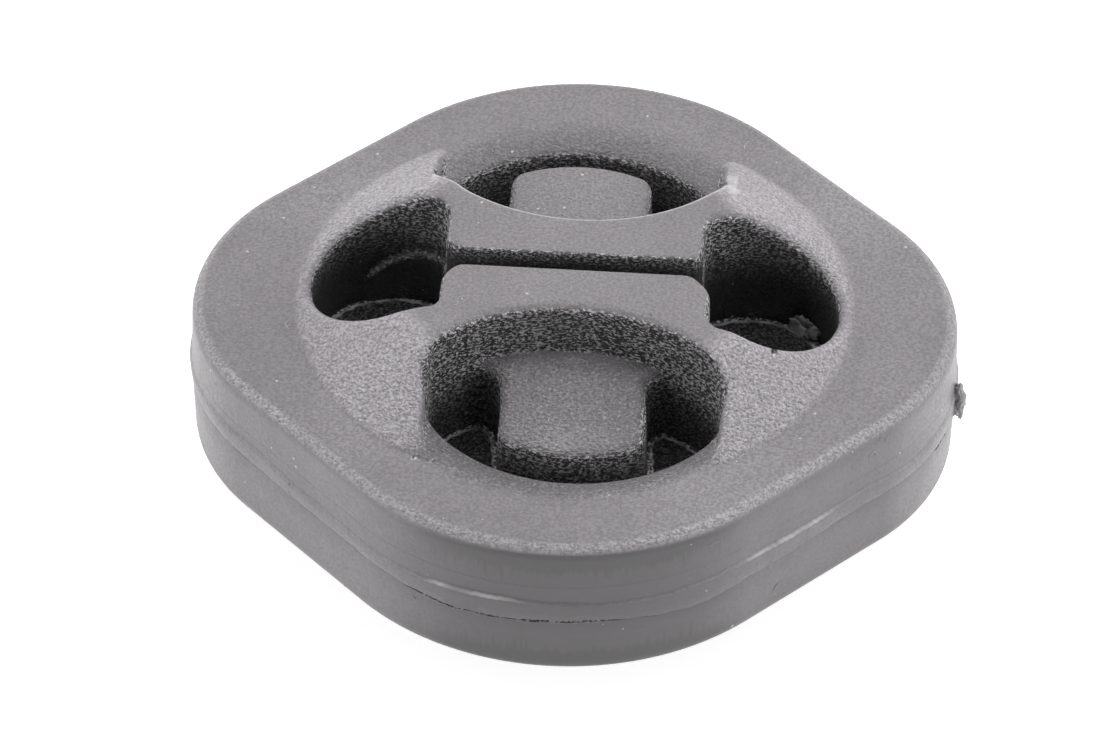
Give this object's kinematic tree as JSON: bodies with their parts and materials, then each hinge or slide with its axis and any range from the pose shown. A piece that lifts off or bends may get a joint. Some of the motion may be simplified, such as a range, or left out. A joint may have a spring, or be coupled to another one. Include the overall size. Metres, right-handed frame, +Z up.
{
  "type": "exhaust hanger",
  "caption": "Moulded rubber exhaust hanger: rounded square block with a raised middle, rod holes joined by a slit, and open bays with bump stops.",
  "frame": {"origin": "centre of the block, on the parting plane at half its thickness", "axes": "+X through the two rod holes, towards the corner with the torn tab; +Y through the two bump stops; +Z up, out of the flat upper face"},
  "size_m": [0.0714, 0.0674, 0.025],
  "materials": {
    "rubber": "matt dark grey moulded rubber with a fine grain on the faces and a smoother side wall"
  },
  "bodies": {
    "root": {"rubber_body": "rubber"}
  },
  "joints": []
}
